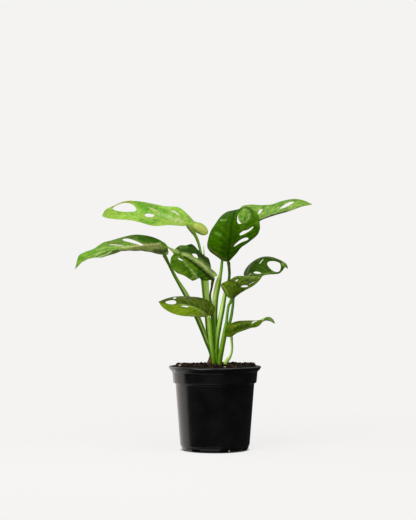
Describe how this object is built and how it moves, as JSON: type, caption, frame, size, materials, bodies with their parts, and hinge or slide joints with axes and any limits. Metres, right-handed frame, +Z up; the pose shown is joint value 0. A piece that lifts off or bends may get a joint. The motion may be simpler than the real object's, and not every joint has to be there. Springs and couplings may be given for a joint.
{
  "type": "potted swiss cheese vine",
  "caption": "Young climbing aroid with holed heart-shaped leaves on thin stalks, rooted in dark soil in a round plastic nursery pot with a raised rim band.",
  "frame": {"origin": "middle of the pot's underside, on the surface that it stands on", "axes": "+Z up along the pot's axis, -Y towards the viewer of the picture, +X to the viewer's right; the longest leaves reach out along -X"},
  "size_m": [0.3102, 0.12, 0.3288],
  "materials": {
    "pot": "glossy black, thin moulded wall",
    "soil": "loose dark potting mix",
    "stems": "smooth green stalks, satin",
    "young_stem": "pale green, satin",
    "dry_sheath": "dry and papery",
    "leaf_bright": "bright yellow-green, satin",
    "leaf_green": "mid green, satin",
    "leaf_dark": "dark green, glossy",
    "leaf_olive": "olive green, satin"
  },
  "bodies": {
    "root": {"pot": "pot", "soil": "soil", "shoot_main": "stems", "shoot_side": "stems", "shoot_young": "young_stem", "dry_sheath": "dry_sheath", "leaf_upper_left": "leaf_bright", "leaf_middle_left": "leaf_green", "leaf_dark_left": "leaf_dark", "leaf_dark_centre": "leaf_dark", "leaf_upper_right": "leaf_bright", "leaf_front_right": "leaf_olive", "leaf_back_right": "leaf_dark", "leaf_lower_left": "leaf_olive", "leaf_lower_right": "leaf_dark"}
  },
  "joints": []
}
